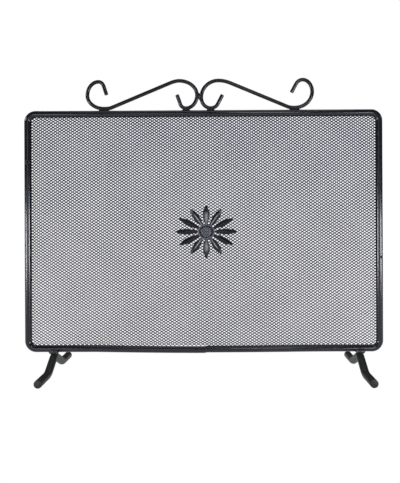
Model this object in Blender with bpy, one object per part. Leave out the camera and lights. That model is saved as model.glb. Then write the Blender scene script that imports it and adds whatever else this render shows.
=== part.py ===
"""Fireplace screen: a bent tube frame with an expanded metal panel, scrolls, a daisy rosette and two feet.

The screen stands on the floor with its front towards -Y and its width along X.  The origin is on the
floor, under the middle of the frame.  All sizes are in metres.
"""
import math

import bmesh
import bpy
import numpy as np

# Frame: one tube bent to a rectangle, its ends meeting in the bottom rail
FRAME_WIDTH = 0.600
FRAME_HEIGHT = 0.405
FRAME_LIFT = 0.034            # floor to the underside of the bottom rail
TUBE_DIAMETER = 0.0114
TUBE_WALL = 0.0012
CORNER_BEND = 0.0133          # radius of the tube's centre line at the corners
JOINT_OFFSET = 0.004          # where the ends meet, right of the middle
JOINT_GROOVE = 0.0020         # room between the ends, filled by the weld
JOINT_PROUD = 0.0004          # how far the weld stands out of the tube
SAG_LEFT = 0.0021             # how far each end hangs below the straight line of the rail
SAG_RIGHT = 0.0012
SAG_REACH = 0.185

# Panel: a sheet of expanded metal dished forward inside the frame, its rim on the back of the tube
PANEL_THICKNESS = 0.0010
PANEL_REST = 0.0007           # room between the tube's back and the rim, taken up by paint and welds
PANEL_DISH = 0.0039           # how far the middle lies in front of the rim
PANEL_SLOPE = 0.0050          # width of the sloping band
PANEL_MARGIN = 0.0005         # flat rim seen inside the tube
SMALLEST_CORNER = 0.002       # radius of the dish's corners

# Scrolls: two rods standing on the top rail and touching each other
ROD_DIAMETER = 0.0063
SCROLL_OFFSET = -0.006        # where the pair touch, from the middle of the frame
ROD_STANDOFF = 0.0003         # room between a rod and the rail
ROD_TOUCH = 0.0036            # centre line of each inner loop, from the line where the pair touch

# Feet: one bar each, bent to an arch with a flat toe in front and one behind
BAR_DIAMETER = 0.0130
LEFT_FOOT_X = -0.251
RIGHT_FOOT_X = 0.261
TOE_REACH = 0.098             # middle of the foot to the end of each toe
FRONT_SLOPE = math.radians(28.5)          # the legs' angles to the floor
REAR_SLOPE = math.radians(23.5)
APEX_BEND = 0.013
TOE_BEND = 0.035

# Welds: each is a lump before its neighbours are cut out of it, given by half its sizes
OUTER_WELD = (0.0088, 0.0036, 0.0028)
INNER_WELD = (0.0066, 0.0036, 0.0028)
CENTRE_WELD = (0.0024, 0.0030, 0.0062)
FRONT_WELD = (0.0078, 0.0040, 0.0058)
REAR_WELD = (0.0074, 0.0036, 0.0048)
FRONT_WELD_PLACE = (-0.0062, 0.0008)      # y, and height over the underside of the bottom rail
REAR_WELD_PLACE = (0.0058, -0.0006)

# Rosette: an oval stamping of twelve petals held on the panel by a rivet with a moulded head
ROSETTE_X = 0.005
ROSETTE_Z = 0.2352
ROSETTE_STRETCH = 1.18        # width over height of the oval
PETALS = 12
PETAL_TIP = 0.0440
HUB_RADIUS = 0.0125
PETAL_ROOT = 0.0018           # half width where a petal leaves the hub
PETAL_HALF_WIDTH = 0.0047
PETAL_WIDEST = 1.15           # power that moves the widest place towards the tip
PETAL_FULLNESS = 0.8          # power that makes the outline fuller than a sine
PETAL_NUB = 0.75              # share of the root's half width taken off at the tip
PETAL_CREST = 0.0030
CREST_FULLNESS = 0.7
EDGE_RISE = 0.25              # height of a petal's edges, over its crest's
STAMPING_THICKNESS = 0.0010
BOSS_RADIUS = 0.0100
BOSS_HEIGHT = 0.0055
BOSS_FULLNESS = 0.6
RIVET_RADIUS = 0.0025
TAIL_SPREAD = 1.7             # hammered tail over the shank
TAIL_TOP = 1.4
TAIL_SHOULDER = 0.0012
TAIL_HEIGHT = 0.0016
WASHER_RADIUS = 0.0090
WASHER_THICKNESS = 0.0012

CLEARANCE = 0.0003            # room between touching pieces
SIDES = 12                    # flats round a bar or tube
ROUND_SIDES = 16              # flats round the boss and the washer
BEND_STEPS = 6                # chords in a bend of the tube or a foot
CURL_STEPS = 7                # chords in a curve of a scroll
SAG_STEPS = 5

TUBE_RADIUS = TUBE_DIAMETER / 2
ROD_RADIUS = ROD_DIAMETER / 2
BAR_RADIUS = BAR_DIAMETER / 2
FLAT = math.cos(math.pi / SIDES)          # a flat's distance from the centre line, over a corner's
RAIL_TOP = FRAME_LIFT + FRAME_HEIGHT
BOTTOM_RAIL_Z = FRAME_LIFT + TUBE_RADIUS
PANEL_BACK = TUBE_RADIUS + PANEL_REST     # front face of the rim
PANEL_FACE = PANEL_BACK - PANEL_DISH      # front face of the dished middle
TOP_RAIL_Z = RAIL_TOP - TUBE_RADIUS
RAIL_X = FRAME_WIDTH / 2 - TUBE_RADIUS

# Each scroll as its bends: (out from where the pair touch, up from the rail, heading in degrees), in mm,
# starting at the outer tip.  Between two bends the rod is straight or one even curve.
SCROLL_LIFT = 1000 * (ROD_RADIUS + ROD_STANDOFF)
INNER_SIDE = 1000 * ROD_TOUCH
LEFT_SCROLL = [
    (155.4, 26.5, 72.6), (159.9, 40.5, 72.6), (168.7, 48.5, 0), (187.6, 25.4, -90),
    (159.9, SCROLL_LIFT, -180), (147.1, 5.0, -202.5), (48.8, 45.7, -202.5), (33.5, 49.4, -180),
    (INNER_SIDE, 25.2, -90), (22.0, SCROLL_LIFT, 0), (31.3, 9.6, 70.5), (37.0, 25.8, 70.5)]
RIGHT_SCROLL = [
    (154.7, 28.9, 61.6), (162.5, 43.3, 61.6), (173.4, 50.1, 0), (189.3, 30.0, -90),
    (159.8, SCROLL_LIFT, -180), (147.5, 5.4, -202.6), (52.6, 45.2, -202.6), (32.0, 49.5, -180),
    (INNER_SIDE, 21.1, -90), (19.4, SCROLL_LIFT, 0), (31.1, 10.1, 62.0), (39.2, 25.4, 62.0)]
OUTER_CONTACT, INNER_SIDE_BEND, INNER_CONTACT = 4, 8, 9      # bends where a scroll is welded


def clear_scene():
    for thing in list(bpy.data.objects):
        bpy.data.objects.remove(thing, do_unlink=True)


def make_material(name, colour, roughness, metallic):
    material = bpy.data.materials.new(name)
    material.use_nodes = True
    shader = material.node_tree.nodes["Principled BSDF"]
    shader.inputs["Base Color"].default_value = (*colour, 1.0)
    shader.inputs["Roughness"].default_value = roughness
    shader.inputs["Metallic"].default_value = metallic
    return material


def add_piece(name, vertices, faces, material, smooth=True):
    """Add one named object; a closed mesh gets its faces turned outwards."""
    mesh = bpy.data.meshes.new(name)
    mesh.from_pydata([tuple(v) for v in vertices], [], faces)
    mesh.update()
    work = bmesh.new()
    work.from_mesh(mesh)
    if all(edge.is_manifold for edge in work.edges):
        bmesh.ops.recalc_face_normals(work, faces=work.faces)
    work.to_mesh(mesh)
    work.free()
    if material is not None:
        mesh.materials.append(material)
    if smooth:
        mesh.shade_smooth()
        mesh.set_sharp_from_angle(angle=math.radians(40))
    piece = bpy.data.objects.new(name, mesh)
    bpy.context.scene.collection.objects.link(piece)
    return piece


def add_cutter(name, vertices, faces):
    """A closed shape that only cuts: hidden from renders and drawn as wire."""
    cutter = add_piece(name, vertices, faces, None, smooth=False)
    cutter.hide_render = True
    cutter.display_type = "WIRE"
    return cutter


def cut(piece, cutters):
    for cutter in cutters:
        modifier = piece.modifiers.new("cut " + cutter.name, "BOOLEAN")
        modifier.operation = "DIFFERENCE"
        modifier.solver = "EXACT"
        modifier.object = cutter


def round_corners(corners, radii, steps):
    """A polyline with each inner corner rounded to an arc of its radius, in `steps` chords."""
    corners = [np.array(c, dtype=float) for c in corners]
    path = [corners[0]]
    for before, corner, after, radius in zip(corners, corners[1:], corners[2:], radii):
        inward = (before - corner) / np.linalg.norm(before - corner)
        outward = (after - corner) / np.linalg.norm(after - corner)
        half = math.acos(float(np.clip(inward @ outward, -1, 1))) / 2
        middle = inward + outward
        centre = corner + middle / np.linalg.norm(middle) * radius / math.sin(half)
        start = corner + inward * radius / math.tan(half) - centre
        side = -inward * radius
        turn = math.pi - 2 * half
        for i in range(steps + 1):
            angle = turn * i / steps
            path.append(centre + start * math.cos(angle) + side * math.sin(angle))
    path.append(corners[-1])
    return np.array(path)


def bend_path(bends, steps):
    """A rod through its bends: a straight run, or a curve whose handles reach towards the corner where
    the two headings cross, by the share that gives an even arc."""
    path = []
    for (x0, z0, h0), (x1, z1, h1) in zip(bends, bends[1:]):
        start, end = np.array([x0, z0], dtype=float), np.array([x1, z1], dtype=float)
        away = np.array([math.cos(math.radians(h0)), math.sin(math.radians(h0))])
        into = np.array([math.cos(math.radians(h1)), math.sin(math.radians(h1))])
        turn = math.radians((h1 - h0 + 180) % 360 - 180)
        if abs(turn) < math.radians(5):
            path.append(start)
            continue
        reach = np.linalg.solve(np.column_stack([away, into]), end - start)
        share = 4 / 3 * math.tan(abs(turn) / 4) / math.tan(abs(turn) / 2)
        handles = [start, start + away * reach[0] * share, end - into * reach[1] * share, end]
        for i in range(steps):
            t = i / steps
            weights = [(1 - t) ** 3, 3 * t * (1 - t) ** 2, 3 * t ** 2 * (1 - t), t ** 3]
            path.append(sum(w * h for w, h in zip(weights, handles)))
    path.append(np.array(bends[-1][:2], dtype=float))
    return np.array(path)


def tangents_of(path):
    steps = np.diff(path, axis=0)
    steps /= np.linalg.norm(steps, axis=1)[:, None]
    tangents = np.vstack([steps[:1], steps[:-1] + steps[1:], steps[-1:]])
    return tangents / np.linalg.norm(tangents, axis=1)[:, None]


def rings_along(path, radius, across):
    """Rings of SIDES points round each point of a flat path, their flats `radius` from the centre line;
    `across` is at right angles to the path's plane."""
    tangents = tangents_of(path)
    normals = np.cross(across, tangents)
    steps = np.diff(path, axis=0)
    steps /= np.linalg.norm(steps, axis=1)[:, None]
    mitre = np.ones(len(path))
    mitre[1:-1] = np.sqrt((1 + np.sum(steps[:-1] * steps[1:], axis=1)) / 2)
    angles = (np.arange(SIDES) + 0.5) * 2 * math.pi / SIDES
    in_plane = np.cos(angles)[None, :, None] * (normals / mitre[:, None])[:, None, :]
    sideways = np.sin(angles)[None, :, None] * np.array(across, dtype=float)[None, None, :]
    return path[:, None, :] + radius / FLAT * (in_plane + sideways)


def skin(rows, columns, first=0):
    """Quads between neighbouring rings of `columns` points."""
    faces = []
    for i in range(rows - 1):
        for j in range(columns):
            a, b = i * columns + j, i * columns + (j + 1) % columns
            faces.append((first + a, first + b, first + b + columns, first + a + columns))
    return faces


def solid_bar(path, radius, across):
    rings = rings_along(path, radius, across)
    rows = len(rings)
    faces = skin(rows, SIDES)
    faces.append(tuple(range(SIDES)))
    faces.append(tuple((rows - 1) * SIDES + j for j in range(SIDES)))
    return rings.reshape(-1, 3), faces


def hollow_bar(path, radius, wall, across):
    outer = rings_along(path, radius, across)
    inner = rings_along(path, radius - wall, across)
    rows = len(outer)
    count = rows * SIDES
    faces = skin(rows, SIDES) + skin(rows, SIDES, first=count)
    for row in (0, rows - 1):
        for j in range(SIDES):
            a, b = row * SIDES + j, row * SIDES + (j + 1) % SIDES
            faces.append((a, b, b + count, a + count))
    return np.vstack([outer.reshape(-1, 3), inner.reshape(-1, 3)]), faces


def ellipsoid(centre, half_sizes, around=16, rings=9):
    """A closed lump: rings of points between two poles."""
    points = [(0.0, 0.0, 1.0)]
    for i in range(1, rings):
        polar = math.pi * i / rings
        for j in range(around):
            angle = 2 * math.pi * j / around
            points.append((math.sin(polar) * math.cos(angle), math.sin(polar) * math.sin(angle),
                           math.cos(polar)))
    points.append((0.0, 0.0, -1.0))
    last = len(points) - 1
    faces = skin(rings - 1, around, first=1)
    for j in range(around):
        after = (j + 1) % around
        faces.append((0, 1 + after, 1 + j))
        faces.append((last, last - around + j, last - around + after))
    return np.array(points) * np.array(half_sizes) + np.array(centre), faces


def turned(profile, steps, centre):
    """A profile of (radius, y) turned round the Y axis, closed at the axis or round a bore."""
    points, faces = [], []
    on_axis = [radius == 0 for radius, _ in profile]
    starts = []
    for radius, y in profile:
        starts.append(len(points))
        count = 1 if radius == 0 else steps
        for j in range(count):
            angle = 2 * math.pi * j / steps
            points.append((radius * math.cos(angle), y, radius * math.sin(angle)))
    pairs = list(zip(range(len(profile)), range(1, len(profile))))
    if not on_axis[0]:
        pairs.append((len(profile) - 1, 0))
    for p, q in pairs:
        for j in range(steps):
            k = (j + 1) % steps
            a = [starts[p]] if on_axis[p] else [starts[p] + j, starts[p] + k]
            b = [starts[q]] if on_axis[q] else [starts[q] + k, starts[q] + j]
            faces.append(tuple(a + b))
    return np.array(points) + np.array(centre), faces


def in_xz(path, x=0.0, z=0.0, mirror=1):
    return np.array([(x + mirror * px, 0.0, z + pz) for px, pz in path])


def frame_path():
    """The tube's centre line, anticlockwise from the joint; the two ends hang a little low."""
    start = JOINT_OFFSET + JOINT_GROOVE / 2
    end = JOINT_OFFSET - JOINT_GROOVE / 2
    bends = round_corners(
        [(start, BOTTOM_RAIL_Z), (RAIL_X, BOTTOM_RAIL_Z), (RAIL_X, TOP_RAIL_Z), (-RAIL_X, TOP_RAIL_Z),
         (-RAIL_X, BOTTOM_RAIL_Z), (end, BOTTOM_RAIL_Z)], [CORNER_BEND] * 4, BEND_STEPS)
    stations = np.linspace(0, 1, SAG_STEPS + 1)[1:]
    right = [(start + SAG_REACH * s, BOTTOM_RAIL_Z) for s in stations]
    left = [(end - SAG_REACH * s, BOTTOM_RAIL_Z) for s in stations[::-1]]
    path = np.vstack([bends[:1], right, bends[1:-1], left, bends[-1:]])
    along = np.clip(np.abs(path[:, 0] - JOINT_OFFSET) / SAG_REACH, 0, 1)
    depth = np.where(path[:, 0] < JOINT_OFFSET, SAG_LEFT, SAG_RIGHT)
    low = path[:, 1] < BOTTOM_RAIL_Z + 1e-6
    path[:, 1] -= np.where(low, depth * np.cos(along * math.pi / 2), 0)
    return in_xz(path)


def build_frame(paint):
    vertices, faces = hollow_bar(frame_path(), TUBE_RADIUS, TUBE_WALL, (0, 1, 0))
    add_piece("frame_tube", vertices, faces, paint)


def build_joint_weld(paint):
    """The bead that fills the groove between the tube's ends, a little proud all round."""
    middle = BOTTOM_RAIL_Z - (SAG_LEFT + SAG_RIGHT) / 2
    half = JOINT_GROOVE / 2 - CLEARANCE
    path = in_xz([(JOINT_OFFSET - half, middle), (JOINT_OFFSET + half, middle)])
    vertices, faces = hollow_bar(path, TUBE_RADIUS + JOINT_PROUD, TUBE_WALL, (0, 1, 0))
    add_piece("frame_joint_weld", vertices, faces, paint)


def rounded_rectangle(inset, y, steps=5):
    """A loop of points `inset` inside the tube's centre line."""
    half_width, half_height = RAIL_X - inset, (TOP_RAIL_Z - BOTTOM_RAIL_Z) / 2 - inset
    radius = max(CORNER_BEND - inset, SMALLEST_CORNER)
    middle = (TOP_RAIL_Z + BOTTOM_RAIL_Z) / 2
    loop = []
    for quarter, (sx, sz) in enumerate([(1, 1), (-1, 1), (-1, -1), (1, -1)]):
        for i in range(steps + 1):
            angle = math.pi / 2 * (quarter + i / steps)
            loop.append((sx * (half_width - radius) + radius * math.cos(angle), y,
                         middle + sz * (half_height - radius) + radius * math.sin(angle)))
    return loop


def build_panel(paint):
    """The plain sheet that stands for the expanded metal: rim, sloping band and flat middle."""
    seen = TUBE_RADIUS + PANEL_MARGIN
    loops = [rounded_rectangle(0.0, PANEL_BACK), rounded_rectangle(seen, PANEL_BACK),
             rounded_rectangle(seen + PANEL_SLOPE, PANEL_FACE)]
    count = len(loops[0])
    vertices = [point for loop in loops for point in loop]
    faces = skin(len(loops), count)
    faces.append(tuple(2 * count + j for j in range(count)))
    panel = add_piece("mesh_panel", vertices, faces, paint, smooth=False)
    face_front(panel)
    thicken(panel, PANEL_THICKNESS)
    hole = RIVET_RADIUS + CLEARANCE
    reach = PANEL_BACK + PANEL_DISH
    profile = [(0, -reach), (hole, -reach), (hole, reach), (0, reach)]
    vertices, faces = turned(profile, SIDES, (ROSETTE_X, 0, ROSETTE_Z))
    cut(panel, [add_cutter("panel_hole_cutter", vertices, faces)])


def face_front(piece):
    """Turn an open sheet so that its faces look to the front, towards -Y."""
    work = bmesh.new()
    work.from_mesh(piece.data)
    bmesh.ops.recalc_face_normals(work, faces=work.faces)
    if sum(face.normal.y * face.calc_area() for face in work.faces) > 0:
        bmesh.ops.reverse_faces(work, faces=work.faces)
    work.to_mesh(piece.data)
    work.free()


def thicken(piece, thickness):
    """Give an open sheet its wall, behind its front face."""
    modifier = piece.modifiers.new("wall", "SOLIDIFY")
    modifier.thickness = thickness
    modifier.offset = -1


def scroll_path(side, steps):
    bends = LEFT_SCROLL if side < 0 else RIGHT_SCROLL
    return in_xz(bend_path(bends, steps) / 1000, SCROLL_OFFSET, RAIL_TOP, side)


def rod_cutter(name, side):
    """The rod grown by the clearance, to shape the welds that lie against it."""
    vertices, faces = solid_bar(scroll_path(side, CURL_STEPS), ROD_RADIUS + CLEARANCE, (0, 1, 0))
    return add_cutter(name, vertices, faces)


def rail_cutter(name, z):
    path = in_xz([(-RAIL_X, z), (RAIL_X, z)])
    vertices, faces = solid_bar(path, TUBE_RADIUS + CLEARANCE, (0, 1, 0))
    return add_cutter(name, vertices, faces)


def build_scrolls(paint):
    names = {-1: "left", 1: "right"}
    top_rail = rail_cutter("top_rail_cutter", TOP_RAIL_Z)
    rods = {}
    for side, name in names.items():
        vertices, faces = solid_bar(scroll_path(side, CURL_STEPS), ROD_RADIUS, (0, 1, 0))
        add_piece(name + "_scroll", vertices, faces, paint)
        rods[side] = rod_cutter(name + "_rod_cutter", side)
        bends = LEFT_SCROLL if side < 0 else RIGHT_SCROLL
        for place, contact, half_sizes in (("outer", OUTER_CONTACT, OUTER_WELD),
                                           ("inner", INNER_CONTACT, INNER_WELD)):
            out = bends[contact][0] / 1000
            centre = (SCROLL_OFFSET + side * out, 0, RAIL_TOP + ROD_STANDOFF / 2)
            vertices, faces = ellipsoid(centre, half_sizes)
            weld = add_piece(name + "_scroll_" + place + "_weld", vertices, faces, paint)
            cut(weld, [top_rail, rods[side]])
    touch = (LEFT_SCROLL[INNER_SIDE_BEND][1] + RIGHT_SCROLL[INNER_SIDE_BEND][1]) / 2
    vertices, faces = ellipsoid((SCROLL_OFFSET, 0, RAIL_TOP + touch / 1000), CENTRE_WELD)
    weld = add_piece("scroll_centre_weld", vertices, faces, paint)
    cut(weld, [rods[-1], rods[1]])


def foot_path(x):
    """The bar's centre line: toe, bend, leg, apex under the rail, leg, bend, toe."""
    toe_z = BAR_RADIUS
    apex_z = FRAME_LIFT - CLEARANCE - BAR_RADIUS
    sharpness = math.cos((FRONT_SLOPE - REAR_SLOPE) / 2) / math.cos((FRONT_SLOPE + REAR_SLOPE) / 2)
    corner_z = apex_z + APEX_BEND * (sharpness - 1)
    front_y = (corner_z - toe_z) / math.tan(FRONT_SLOPE)
    rear_y = (corner_z - toe_z) / math.tan(REAR_SLOPE)
    path = round_corners(
        [(-TOE_REACH, toe_z), (-front_y, toe_z), (0, corner_z), (rear_y, toe_z), (TOE_REACH, toe_z)],
        [TOE_BEND, APEX_BEND, TOE_BEND], BEND_STEPS)
    return np.array([(x, y, z) for y, z in path])


def build_feet(paint):
    bottom_rail = rail_cutter("bottom_rail_cutter", BOTTOM_RAIL_Z)
    for name, x in (("left", LEFT_FOOT_X), ("right", RIGHT_FOOT_X)):
        path = foot_path(x)
        vertices, faces = solid_bar(path, BAR_RADIUS, (1, 0, 0))
        add_piece(name + "_foot", vertices, faces, paint)
        vertices, faces = solid_bar(path, BAR_RADIUS + CLEARANCE, (1, 0, 0))
        bar = add_cutter(name + "_bar_cutter", vertices, faces)
        for place, (y, up), half_sizes in (("front", FRONT_WELD_PLACE, FRONT_WELD),
                                           ("rear", REAR_WELD_PLACE, REAR_WELD)):
            vertices, faces = ellipsoid((x, y, FRAME_LIFT + up), half_sizes)
            weld = add_piece(name + "_foot_" + place + "_weld", vertices, faces, paint)
            cut(weld, [bottom_rail, bar])


def petal_half_width(along):
    """Half width from root to tip: widest a little past the middle, drawn out to a small nub."""
    swell = math.sin(math.pi * along ** PETAL_WIDEST) ** PETAL_FULLNESS
    return PETAL_ROOT * (1 - PETAL_NUB * along ** 3) + (PETAL_HALF_WIDTH - PETAL_ROOT) * swell


def build_rosette(paint):
    """Hub ring and petals as one pressed sheet; each petal has a raised rib and low edges."""
    stations = np.linspace(0, 1, 8)
    back = PANEL_FACE - CLEARANCE - STAMPING_THICKNESS
    rings = [(RIVET_RADIUS + CLEARANCE, back), (BOSS_RADIUS, back)]
    root_turn = math.asin(PETAL_ROOT / HUB_RADIUS)
    angles = [2 * math.pi * k / PETALS + turn for k in range(PETALS) for turn in (-root_turn, 0, root_turn)]
    vertices = [(radius * math.cos(a), y, radius * math.sin(a)) for radius, y in rings for a in angles]
    count = len(angles)
    faces = skin(2, count)
    first_root = len(vertices)
    vertices += [(HUB_RADIUS * math.cos(a), back, HUB_RADIUS * math.sin(a)) for a in angles]
    faces += skin(2, count, first=first_root - count)
    for k in range(PETALS):
        turn = 2 * math.pi * k / PETALS
        row = [first_root + 3 * k + j for j in range(3)]
        for along in stations[1:]:
            radius = HUB_RADIUS + (PETAL_TIP - HUB_RADIUS) * along
            half = petal_half_width(along)
            crest = PETAL_CREST * max(math.sin(math.pi * along), 0) ** CREST_FULLNESS
            new_row = []
            for side in (-1, 0, 1):
                x = radius * math.cos(turn) - side * half * math.sin(turn)
                z = radius * math.sin(turn) + side * half * math.cos(turn)
                new_row.append(len(vertices))
                vertices.append((x, back - (crest if side == 0 else EDGE_RISE * crest), z))
            faces += [(row[0], row[1], new_row[1], new_row[0]), (row[1], row[2], new_row[2], new_row[1])]
            row = new_row
    placed = [(ROSETTE_X + x * ROSETTE_STRETCH, y, ROSETTE_Z + z) for x, y, z in vertices]
    petals = add_piece("rosette_petals", placed, faces, paint, smooth=False)
    face_front(petals)
    thicken(petals, STAMPING_THICKNESS)

    seat = back - CLEARANCE
    tail = PANEL_FACE + PANEL_THICKNESS + CLEARANCE + WASHER_THICKNESS + CLEARANCE
    dome = [(BOSS_RADIUS * math.sin(a), seat - BOSS_HEIGHT * math.cos(a) ** BOSS_FULLNESS)
            for a in np.radians([0, 20, 38, 54, 68, 80])]
    profile = dome + [(BOSS_RADIUS, seat), (RIVET_RADIUS, seat), (RIVET_RADIUS, tail),
                      (RIVET_RADIUS * TAIL_SPREAD, tail),
                      (RIVET_RADIUS * TAIL_TOP, tail + TAIL_SHOULDER), (0, tail + TAIL_HEIGHT)]
    vertices, faces = turned(profile, ROUND_SIDES, (ROSETTE_X, 0, ROSETTE_Z))
    add_piece("rosette_boss", vertices, faces, paint)

    near = PANEL_FACE + PANEL_THICKNESS + CLEARANCE
    far = near + WASHER_THICKNESS
    bore = RIVET_RADIUS + CLEARANCE
    profile = [(bore, near), (WASHER_RADIUS, near), (WASHER_RADIUS, far), (bore, far)]
    vertices, faces = turned(profile, ROUND_SIDES, (ROSETTE_X, 0, ROSETTE_Z))
    add_piece("rosette_washer", vertices, faces, paint)


clear_scene()
build_frame(make_material("frame paint", (0.045, 0.045, 0.052), 0.38, 0.0))
build_joint_weld(make_material("frame weld paint", (0.030, 0.030, 0.034), 0.50, 0.0))
build_panel(make_material("panel paint", (0.050, 0.050, 0.058), 0.45, 0.0))
build_scrolls(make_material("scroll paint", (0.035, 0.035, 0.040), 0.38, 0.0))
build_feet(make_material("foot paint", (0.032, 0.033, 0.030), 0.45, 0.0))
build_rosette(make_material("rosette paint", (0.040, 0.040, 0.046), 0.35, 0.0))
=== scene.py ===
"""The looks of a small wrought-style fireplace screen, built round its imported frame.

Sections follow the way the screen is put together: the studio, the bent tube and its weld, the
expanded metal panel, the two scrolls and their welds, the feet and their welds, and the rosette.
"""

import math

import bmesh
import bpy
import numpy as np
from mathutils import Matrix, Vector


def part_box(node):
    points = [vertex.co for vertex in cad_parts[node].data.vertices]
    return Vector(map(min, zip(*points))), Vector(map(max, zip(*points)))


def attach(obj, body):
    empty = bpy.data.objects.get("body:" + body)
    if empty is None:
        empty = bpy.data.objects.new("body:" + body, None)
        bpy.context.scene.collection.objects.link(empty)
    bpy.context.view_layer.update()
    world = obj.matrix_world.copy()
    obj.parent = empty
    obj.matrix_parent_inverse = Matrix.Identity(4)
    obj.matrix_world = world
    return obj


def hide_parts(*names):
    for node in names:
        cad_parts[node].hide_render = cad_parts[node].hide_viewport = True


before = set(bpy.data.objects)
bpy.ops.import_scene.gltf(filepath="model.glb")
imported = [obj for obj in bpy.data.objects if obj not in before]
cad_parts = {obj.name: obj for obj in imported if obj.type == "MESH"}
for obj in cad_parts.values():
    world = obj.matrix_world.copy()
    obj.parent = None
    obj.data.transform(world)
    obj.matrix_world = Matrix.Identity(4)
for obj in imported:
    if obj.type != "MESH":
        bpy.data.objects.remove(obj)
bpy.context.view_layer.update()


# ---- Studio: camera, floor and light ---------------------------------------------------------
# A level camera a little right of the middle and just over half way up the screen.  The screen
# stands on a glowing white board in a ring of soft panels, with one overhead and one behind.

CAMERA_PLACE = (0.0252, -1.048, 0.2697)
CAMERA_LENS = 46.6            # mm, on a sensor 36 mm high
CAMERA_YAW = 0.0094           # radians towards -X
CAMERA_ROLL = -0.0042
CAMERA_SHIFT = (-0.0255, -0.0630)

camera_data = bpy.data.cameras.new("camera")
camera_data.lens = CAMERA_LENS
camera_data.sensor_width = 36.0
camera_data.shift_x, camera_data.shift_y = CAMERA_SHIFT
camera_data.clip_start, camera_data.clip_end = 0.05, 60.0
camera = bpy.data.objects.new("camera", camera_data)
camera.matrix_world = (Matrix.Translation(CAMERA_PLACE) @ Matrix.Rotation(CAMERA_YAW, 4, "Z")
                       @ Matrix.Rotation(math.pi / 2, 4, "X") @ Matrix.Rotation(CAMERA_ROLL, 4, "Z"))
bpy.context.scene.collection.objects.link(camera)
bpy.context.scene.camera = camera
bpy.context.scene.view_settings.view_transform = "Standard"


def linear(hex_colour):
    """An sRGB hex colour as linear red, green, blue and alpha 1."""
    share = np.array([int(hex_colour[i:i + 2], 16) for i in (1, 3, 5)]) / 255
    light = np.where(share <= 0.04045, share / 12.92, ((share + 0.055) / 1.055) ** 2.4)
    return (*light.tolist(), 1.0)


def add_node(tree, kind, settings=None, links=None):
    """Add one node.  Settings name its sockets or its own properties; links name its input sockets
    and give the output sockets that feed them."""
    node = tree.nodes.new(kind)
    for name, value in (settings or {}).items():
        if isinstance(name, int) or name in node.inputs:
            node.inputs[name].default_value = value
        else:
            setattr(node, name, value)
    for name, source in (links or {}).items():
        tree.links.new(source, node.inputs[name])
    return node


def new_material(name):
    """An empty node material and its tree."""
    material = bpy.data.materials.new(name)
    material.use_nodes = True
    material.node_tree.nodes.clear()
    return material, material.node_tree


FLOOR_HALF = 9.0
LIGHT_AIM = (0.0, 0.0, 0.25)
RING_RADIUS = 1.7
RING_PANEL_SIZE = (0.30, 0.35)
floor_mesh = bpy.data.meshes.new("floor")
floor_corners = [(-FLOOR_HALF, -FLOOR_HALF, 0), (FLOOR_HALF, -FLOOR_HALF, 0),
                 (FLOOR_HALF, FLOOR_HALF, 0), (-FLOOR_HALF, FLOOR_HALF, 0)]
floor_mesh.from_pydata(floor_corners, [], [(0, 1, 2, 3)])
floor = bpy.data.objects.new("floor", floor_mesh)
bpy.context.scene.collection.objects.link(floor)

# Matt white board, lit from below: pure white where it is looked at, and a soft glow under the feet
# that dies away within 1.9 m, so that the tubes' outer edges stay dark.
white_board, tree = new_material("matt_white_board")
path = add_node(tree, "ShaderNodeLightPath")
spot = add_node(tree, "ShaderNodeTexCoord").outputs["Object"]
reach = add_node(tree, "ShaderNodeVectorMath", {"operation": "LENGTH"}, {0: spot})
fade = add_node(tree, "ShaderNodeMapRange", {"From Min": 0.4, "From Max": 1.9, "To Min": 0.62,
                                             "To Max": 0.08}, {"Value": reach.outputs["Value"]})
board = add_node(tree, "ShaderNodeBsdfPrincipled",
                 {"Base Color": linear("#b4b4b4"), "Roughness": 0.9, "Specular IOR Level": 0.1,
                  "Emission Color": linear("#ffffff")},
                 {"Emission Strength": fade.outputs["Result"]})
glow = add_node(tree, "ShaderNodeEmission", {"Color": linear("#ffffff"), "Strength": 1.0})
either = add_node(tree, "ShaderNodeMixShader", links={0: path.outputs["Is Camera Ray"]})
tree.links.new(board.outputs["BSDF"], either.inputs[1])
tree.links.new(glow.outputs["Emission"], either.inputs[2])
add_node(tree, "ShaderNodeOutputMaterial", links={"Surface": either.outputs["Shader"]})
floor_mesh.materials.append(white_board)

# The room is white where it is looked at, and adds only a trace of light to the object.
room = bpy.data.worlds.new("studio_room")
room.use_nodes = True
room.node_tree.nodes.clear()
tree = room.node_tree
path = add_node(tree, "ShaderNodeLightPath")
seen = add_node(tree, "ShaderNodeBackground", {"Color": linear("#ffffff"), "Strength": 1.0})
lighting = add_node(tree, "ShaderNodeBackground", {"Color": linear("#ffffff"), "Strength": 0.056})
either = add_node(tree, "ShaderNodeMixShader", links={0: path.outputs["Is Camera Ray"]})
tree.links.new(lighting.outputs["Background"], either.inputs[1])
tree.links.new(seen.outputs["Background"], either.inputs[2])
add_node(tree, "ShaderNodeOutputWorld", links={"Surface": either.outputs["Shader"]})
bpy.context.scene.world = room


def add_soft_panel(name, place, size, watts, colour):
    """A rectangular studio light at `place`, turned to face the aim."""
    data = bpy.data.lights.new(name, "AREA")
    data.shape = "RECTANGLE"
    data.size, data.size_y = size
    data.energy = watts
    data.color = linear(colour)[:3]
    light = bpy.data.objects.new(name, data)
    light.location = place
    facing = np.array(LIGHT_AIM) - np.array(place)
    light.rotation_euler = (math.atan2(math.hypot(facing[0], facing[1]), -facing[2]), 0,
                            math.atan2(facing[1], facing[0]) - math.pi / 2)
    bpy.context.scene.collection.objects.link(light)


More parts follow.
